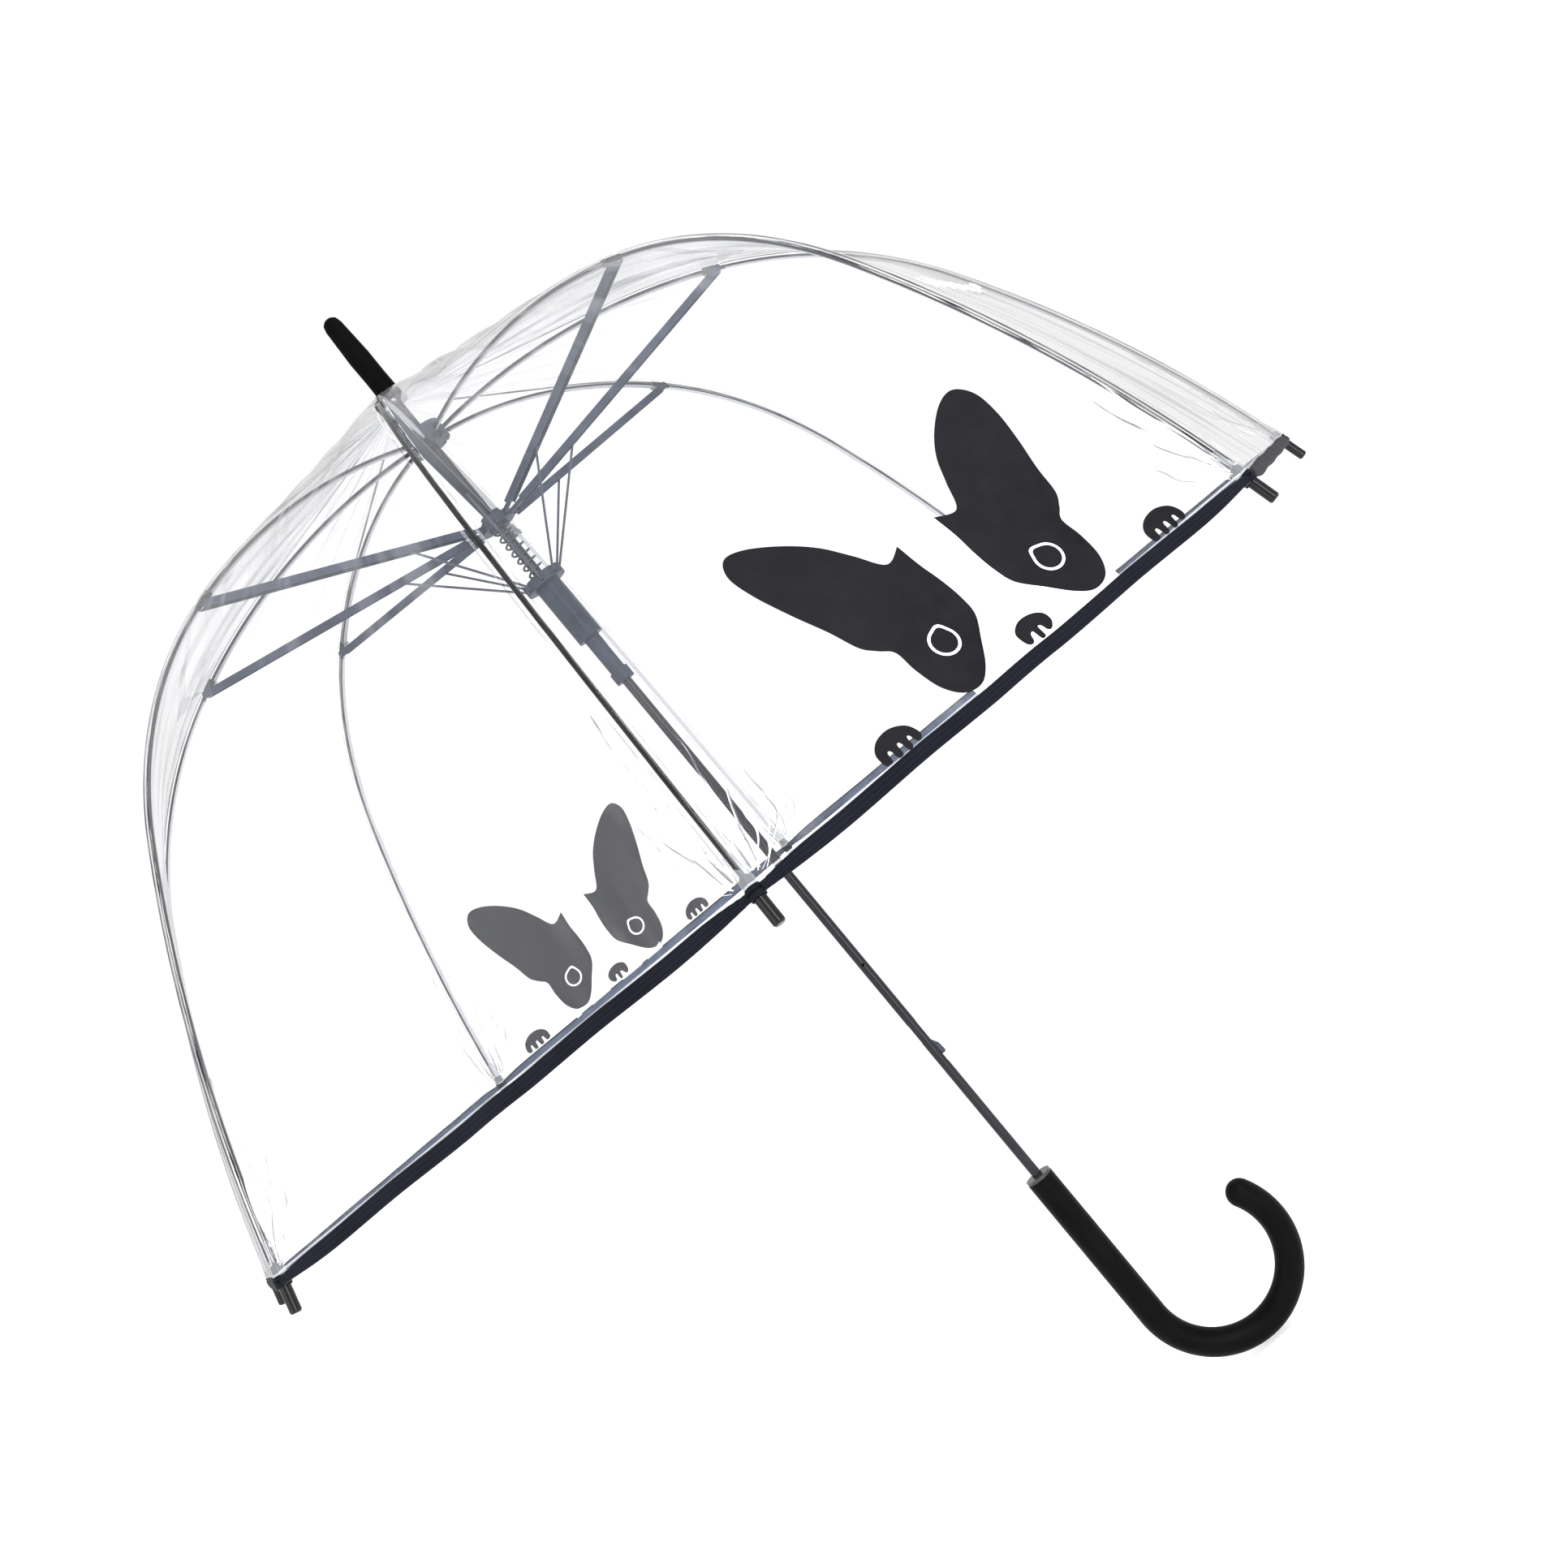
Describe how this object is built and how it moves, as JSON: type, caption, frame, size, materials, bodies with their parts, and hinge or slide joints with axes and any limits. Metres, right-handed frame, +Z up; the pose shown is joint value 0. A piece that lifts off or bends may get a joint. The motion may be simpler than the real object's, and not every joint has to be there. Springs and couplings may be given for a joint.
{
  "type": "clear bubble umbrella",
  "caption": "Deep dome umbrella with a clear film canopy, dark hem binding and rib tips, folding steel frame with runner and opening spring, and a black crook handle.",
  "frame": {"origin": "middle of the handle's straight grip, on the shaft's axis", "axes": "+Z up the shaft to the ferrule, +X towards the crook's open end, rib 1 points to -Y"},
  "size_m": [0.8538, 0.8538, 0.8854],
  "materials": {
    "steel_tube": "satin, dark nickel",
    "rib_steel": "satin black",
    "rib_glassfibre": "glass-fibre rod, semi-gloss black",
    "black_gloss_plastic": "gloss black",
    "stretcher_steel": "satin blue-grey",
    "wire_steel": "satin",
    "clear_film": "clear, glossy, slightly wrinkled",
    "hem_fabric": "woven, matt near-black navy",
    "handle_matte_black": "matt black",
    "pale_plastic": "pale grey",
    "frame_plastic": "dark blue-grey"
  },
  "bodies": {
    "shaft_assembly": {"shaft": "steel_tube", "crown_notch": "frame_plastic", "crown_wire": "wire_steel", "canopy": "clear_film", "hem_binding": "hem_fabric", "ferrule": "black_gloss_plastic", "top_washer": "clear_film", "tie_strap": "clear_film", "snap_stud": "wire_steel", "snap_socket": "wire_steel", "handle": "handle_matte_black", "handle_collar": "pale_plastic"},
    "rib_arm_1": {"rib_arm_1": "rib_steel"},
    "rib_arm_2": {"rib_arm_2": "rib_steel"},
    "rib_arm_3": {"rib_arm_3": "rib_steel"},
    "rib_arm_4": {"rib_arm_4": "rib_steel"},
    "rib_arm_5": {"rib_arm_5": "rib_steel"},
    "rib_arm_6": {"rib_arm_6": "rib_steel"},
    "rib_arm_7": {"rib_arm_7": "rib_steel"},
    "rib_arm_8": {"rib_arm_8": "rib_steel"},
    "rib_rod_1": {"rib_rod_1": "rib_glassfibre", "rib_tip_1": "black_gloss_plastic"},
    "rib_rod_2": {"rib_rod_2": "rib_glassfibre", "rib_tip_2": "black_gloss_plastic"},
    "rib_rod_3": {"rib_rod_3": "rib_glassfibre", "rib_tip_3": "black_gloss_plastic"},
    "rib_rod_4": {"rib_rod_4": "rib_glassfibre", "rib_tip_4": "black_gloss_plastic"},
    "rib_rod_5": {"rib_rod_5": "rib_glassfibre", "rib_tip_5": "black_gloss_plastic"},
    "rib_rod_6": {"rib_rod_6": "rib_glassfibre", "rib_tip_6": "black_gloss_plastic"},
    "rib_rod_7": {"rib_rod_7": "rib_glassfibre", "rib_tip_7": "black_gloss_plastic"},
    "rib_rod_8": {"rib_rod_8": "rib_glassfibre", "rib_tip_8": "black_gloss_plastic"},
    "stretcher_1": {"stretcher_1": "stretcher_steel"},
    "stretcher_2": {"stretcher_2": "stretcher_steel"},
    "stretcher_3": {"stretcher_3": "stretcher_steel"},
    "stretcher_4": {"stretcher_4": "stretcher_steel"},
    "stretcher_5": {"stretcher_5": "stretcher_steel"},
    "stretcher_6": {"stretcher_6": "stretcher_steel"},
    "stretcher_7": {"stretcher_7": "stretcher_steel"},
    "stretcher_8": {"stretcher_8": "stretcher_steel"},
    "link_wire_1": {"link_wire_1": "wire_steel"},
    "link_wire_2": {"link_wire_2": "wire_steel"},
    "link_wire_3": {"link_wire_3": "wire_steel"},
    "link_wire_4": {"link_wire_4": "wire_steel"},
    "link_wire_5": {"link_wire_5": "wire_steel"},
    "link_wire_6": {"link_wire_6": "wire_steel"},
    "link_wire_7": {"link_wire_7": "wire_steel"},
    "link_wire_8": {"link_wire_8": "wire_steel"},
    "slide_hub": {"slide_hub": "frame_plastic", "hub_wire": "wire_steel", "opening_spring": "wire_steel"},
    "runner": {"runner": "frame_plastic", "runner_wire": "wire_steel"},
    "thumb_catch": {"thumb_catch": "wire_steel"}
  },
  "joints": [
    {"name": "rib_fold", "type": "hinge", "parent": "shaft_assembly", "child": "rib_arm_1", "pos_m": [0, -0.0115, 0.669], "axis": [1, 0, 0], "range_deg": [0, 76], "stiffness_Nm_per_rad": 1.5, "springref_deg": -143.24},
    {"name": "rib_fold_2", "type": "hinge", "parent": "shaft_assembly", "child": "rib_arm_2", "pos_m": [0.00813, -0.00813, 0.669], "axis": [0.7071, 0.7071, 0], "range_deg": [0, 76]},
    {"name": "rib_fold_3", "type": "hinge", "parent": "shaft_assembly", "child": "rib_arm_3", "pos_m": [0.0115, 0, 0.669], "axis": [0, 1, 0], "range_deg": [0, 76]},
    {"name": "rib_fold_4", "type": "hinge", "parent": "shaft_assembly", "child": "rib_arm_4", "pos_m": [0.00813, 0.00813, 0.669], "axis": [-0.7071, 0.7071, 0], "range_deg": [0, 76]},
    {"name": "rib_fold_5", "type": "hinge", "parent": "shaft_assembly", "child": "rib_arm_5", "pos_m": [0, 0.0115, 0.669], "axis": [-1, 0, 0], "range_deg": [0, 76]},
    {"name": "rib_fold_6", "type": "hinge", "parent": "shaft_assembly", "child": "rib_arm_6", "pos_m": [-0.00813, 0.00813, 0.669], "axis": [-0.7071, -0.7071, 0], "range_deg": [0, 76]},
    {"name": "rib_fold_7", "type": "hinge", "parent": "shaft_assembly", "child": "rib_arm_7", "pos_m": [-0.0115, 0, 0.669], "axis": [0, -1, 0], "range_deg": [0, 76]},
    {"name": "rib_fold_8", "type": "hinge", "parent": "shaft_assembly", "child": "rib_arm_8", "pos_m": [-0.00813, -0.00813, 0.669], "axis": [0.7071, -0.7071, 0], "range_deg": [0, 76]},
    {"name": "rod_bend_1", "type": "hinge", "parent": "rib_arm_1", "child": "rib_rod_1", "pos_m": [0, -0.214, 0.634], "axis": [1, 0, 0], "range_deg": [-48.81, 0]},
    {"name": "rod_bend_2", "type": "hinge", "parent": "rib_arm_2", "child": "rib_rod_2", "pos_m": [0.15132, -0.15132, 0.634], "axis": [0.7071, 0.7071, 0], "range_deg": [-48.81, 0]},
    {"name": "rod_bend_3", "type": "hinge", "parent": "rib_arm_3", "child": "rib_rod_3", "pos_m": [0.214, 0, 0.634], "axis": [0, 1, 0], "range_deg": [-48.81, 0]},
    {"name": "rod_bend_4", "type": "hinge", "parent": "rib_arm_4", "child": "rib_rod_4", "pos_m": [0.15132, 0.15132, 0.634], "axis": [-0.7071, 0.7071, 0], "range_deg": [-48.81, 0]},
    {"name": "rod_bend_5", "type": "hinge", "parent": "rib_arm_5", "child": "rib_rod_5", "pos_m": [0, 0.214, 0.634], "axis": [-1, 0, 0], "range_deg": [-48.81, 0]},
    {"name": "rod_bend_6", "type": "hinge", "parent": "rib_arm_6", "child": "rib_rod_6", "pos_m": [-0.15132, 0.15132, 0.634], "axis": [-0.7071, -0.7071, 0], "range_deg": [-48.81, 0]},
    {"name": "rod_bend_7", "type": "hinge", "parent": "rib_arm_7", "child": "rib_rod_7", "pos_m": [-0.214, 0, 0.634], "axis": [0, -1, 0], "range_deg": [-48.81, 0]},
    {"name": "rod_bend_8", "type": "hinge", "parent": "rib_arm_8", "child": "rib_rod_8", "pos_m": [-0.15132, -0.15132, 0.634], "axis": [0.7071, -0.7071, 0], "range_deg": [-48.81, 0]},
    {"name": "stretcher_swing_1", "type": "hinge", "parent": "rib_arm_1", "child": "stretcher_1", "pos_m": [0, -0.214, 0.634], "axis": [1, 0, 0], "range_deg": [-152, 0]},
    {"name": "stretcher_swing_2", "type": "hinge", "parent": "rib_arm_2", "child": "stretcher_2", "pos_m": [0.15132, -0.15132, 0.634], "axis": [0.7071, 0.7071, 0], "range_deg": [-152, 0]},
    {"name": "stretcher_swing_3", "type": "hinge", "parent": "rib_arm_3", "child": "stretcher_3", "pos_m": [0.214, 0, 0.634], "axis": [0, 1, 0], "range_deg": [-152, 0]},
    {"name": "stretcher_swing_4", "type": "hinge", "parent": "rib_arm_4", "child": "stretcher_4", "pos_m": [0.15132, 0.15132, 0.634], "axis": [-0.7071, 0.7071, 0], "range_deg": [-152, 0]},
    {"name": "stretcher_swing_5", "type": "hinge", "parent": "rib_arm_5", "child": "stretcher_5", "pos_m": [0, 0.214, 0.634], "axis": [-1, 0, 0], "range_deg": [-152, 0]},
    {"name": "stretcher_swing_6", "type": "hinge", "parent": "rib_arm_6", "child": "stretcher_6", "pos_m": [-0.15132, 0.15132, 0.634], "axis": [-0.7071, -0.7071, 0], "range_deg": [-152, 0]},
    {"name": "stretcher_swing_7", "type": "hinge", "parent": "rib_arm_7", "child": "stretcher_7", "pos_m": [-0.214, 0, 0.634], "axis": [0, -1, 0], "range_deg": [-152, 0]},
    {"name": "stretcher_swing_8", "type": "hinge", "parent": "rib_arm_8", "child": "stretcher_8", "pos_m": [-0.15132, -0.15132, 0.634], "axis": [0.7071, -0.7071, 0], "range_deg": [-152, 0]},
    {"name": "link_swing_1", "type": "hinge", "parent": "stretcher_1", "child": "link_wire_1", "pos_m": [0, -0.0709, 0.60764], "axis": [1, 0, 0], "range_deg": [0, 33.59]},
    {"name": "link_swing_2", "type": "hinge", "parent": "stretcher_2", "child": "link_wire_2", "pos_m": [0.05013, -0.05013, 0.60764], "axis": [0.7071, 0.7071, 0], "range_deg": [0, 33.59]},
    {"name": "link_swing_3", "type": "hinge", "parent": "stretcher_3", "child": "link_wire_3", "pos_m": [0.0709, 0, 0.60764], "axis": [0, 1, 0], "range_deg": [0, 33.59]},
    {"name": "link_swing_4", "type": "hinge", "parent": "stretcher_4", "child": "link_wire_4", "pos_m": [0.05013, 0.05013, 0.60764], "axis": [-0.7071, 0.7071, 0], "range_deg": [0, 33.59]},
    {"name": "link_swing_5", "type": "hinge", "parent": "stretcher_5", "child": "link_wire_5", "pos_m": [0, 0.0709, 0.60764], "axis": [-1, 0, 0], "range_deg": [0, 33.59]},
    {"name": "link_swing_6", "type": "hinge", "parent": "stretcher_6", "child": "link_wire_6", "pos_m": [-0.05013, 0.05013, 0.60764], "axis": [-0.7071, -0.7071, 0], "range_deg": [0, 33.59]},
    {"name": "link_swing_7", "type": "hinge", "parent": "stretcher_7", "child": "link_wire_7", "pos_m": [-0.0709, 0, 0.60764], "axis": [0, -1, 0], "range_deg": [0, 33.59]},
    {"name": "link_swing_8", "type": "hinge", "parent": "stretcher_8", "child": "link_wire_8", "pos_m": [-0.05013, -0.05013, 0.60764], "axis": [0.7071, -0.7071, 0], "range_deg": [0, 33.59]},
    {"name": "hub_travel", "type": "hinge", "parent": "stretcher_1", "child": "slide_hub", "pos_m": [0, -0.0115, 0.599], "axis": [1, 0, 0], "range_deg": [0, 76]},
    {"name": "runner_slide", "type": "slide", "parent": "slide_hub", "child": "runner", "axis": [0, 0, 1], "range_m": [0, 0.02672], "deforming": ["opening_spring"]},
    {"name": "catch_press", "type": "hinge", "parent": "shaft_assembly", "child": "thumb_catch", "pos_m": [0.0016, 0, 0.122], "axis": [0, -1, 0], "range_deg": [0, 4], "stiffness_Nm_per_rad": 0.5, "springref_deg": -2.86}
  ],
  "couplings": [
    {"joint": "rib_fold_2", "follows": "rib_fold", "ratio": 1},
    {"joint": "rib_fold_3", "follows": "rib_fold", "ratio": 1},
    {"joint": "rib_fold_4", "follows": "rib_fold", "ratio": 1},
    {"joint": "rib_fold_5", "follows": "rib_fold", "ratio": 1},
    {"joint": "rib_fold_6", "follows": "rib_fold", "ratio": 1},
    {"joint": "rib_fold_7", "follows": "rib_fold", "ratio": 1},
    {"joint": "rib_fold_8", "follows": "rib_fold", "ratio": 1},
    {"joint": "rod_bend_1", "follows": "rib_fold", "ratio": -0.6422},
    {"joint": "rod_bend_2", "follows": "rib_fold", "ratio": -0.6422},
    {"joint": "rod_bend_3", "follows": "rib_fold", "ratio": -0.6422},
    {"joint": "rod_bend_4", "follows": "rib_fold", "ratio": -0.6422},
    {"joint": "rod_bend_5", "follows": "rib_fold", "ratio": -0.6422},
    {"joint": "rod_bend_6", "follows": "rib_fold", "ratio": -0.6422},
    {"joint": "rod_bend_7", "follows": "rib_fold", "ratio": -0.6422},
    {"joint": "rod_bend_8", "follows": "rib_fold", "ratio": -0.6422},
    {"joint": "stretcher_swing_1", "follows": "rib_fold", "ratio": -2},
    {"joint": "stretcher_swing_2", "follows": "rib_fold", "ratio": -2},
    {"joint": "stretcher_swing_3", "follows": "rib_fold", "ratio": -2},
    {"joint": "stretcher_swing_4", "follows": "rib_fold", "ratio": -2},
    {"joint": "stretcher_swing_5", "follows": "rib_fold", "ratio": -2},
    {"joint": "stretcher_swing_6", "follows": "rib_fold", "ratio": -2},
    {"joint": "stretcher_swing_7", "follows": "rib_fold", "ratio": -2},
    {"joint": "stretcher_swing_8", "follows": "rib_fold", "ratio": -2},
    {"joint": "link_swing_1", "follows": "rib_fold", "ratio": 0.44189},
    {"joint": "link_swing_2", "follows": "rib_fold", "ratio": 0.44189},
    {"joint": "link_swing_3", "follows": "rib_fold", "ratio": 0.44189},
    {"joint": "link_swing_4", "follows": "rib_fold", "ratio": 0.44189},
    {"joint": "link_swing_5", "follows": "rib_fold", "ratio": 0.44189},
    {"joint": "link_swing_6", "follows": "rib_fold", "ratio": 0.44189},
    {"joint": "link_swing_7", "follows": "rib_fold", "ratio": 0.44189},
    {"joint": "link_swing_8", "follows": "rib_fold", "ratio": 0.44189},
    {"joint": "hub_travel", "follows": "rib_fold", "ratio": 1},
    {"joint": "runner_slide", "follows": "rib_fold", "m_per_rad": 0.020143}
  ]
}
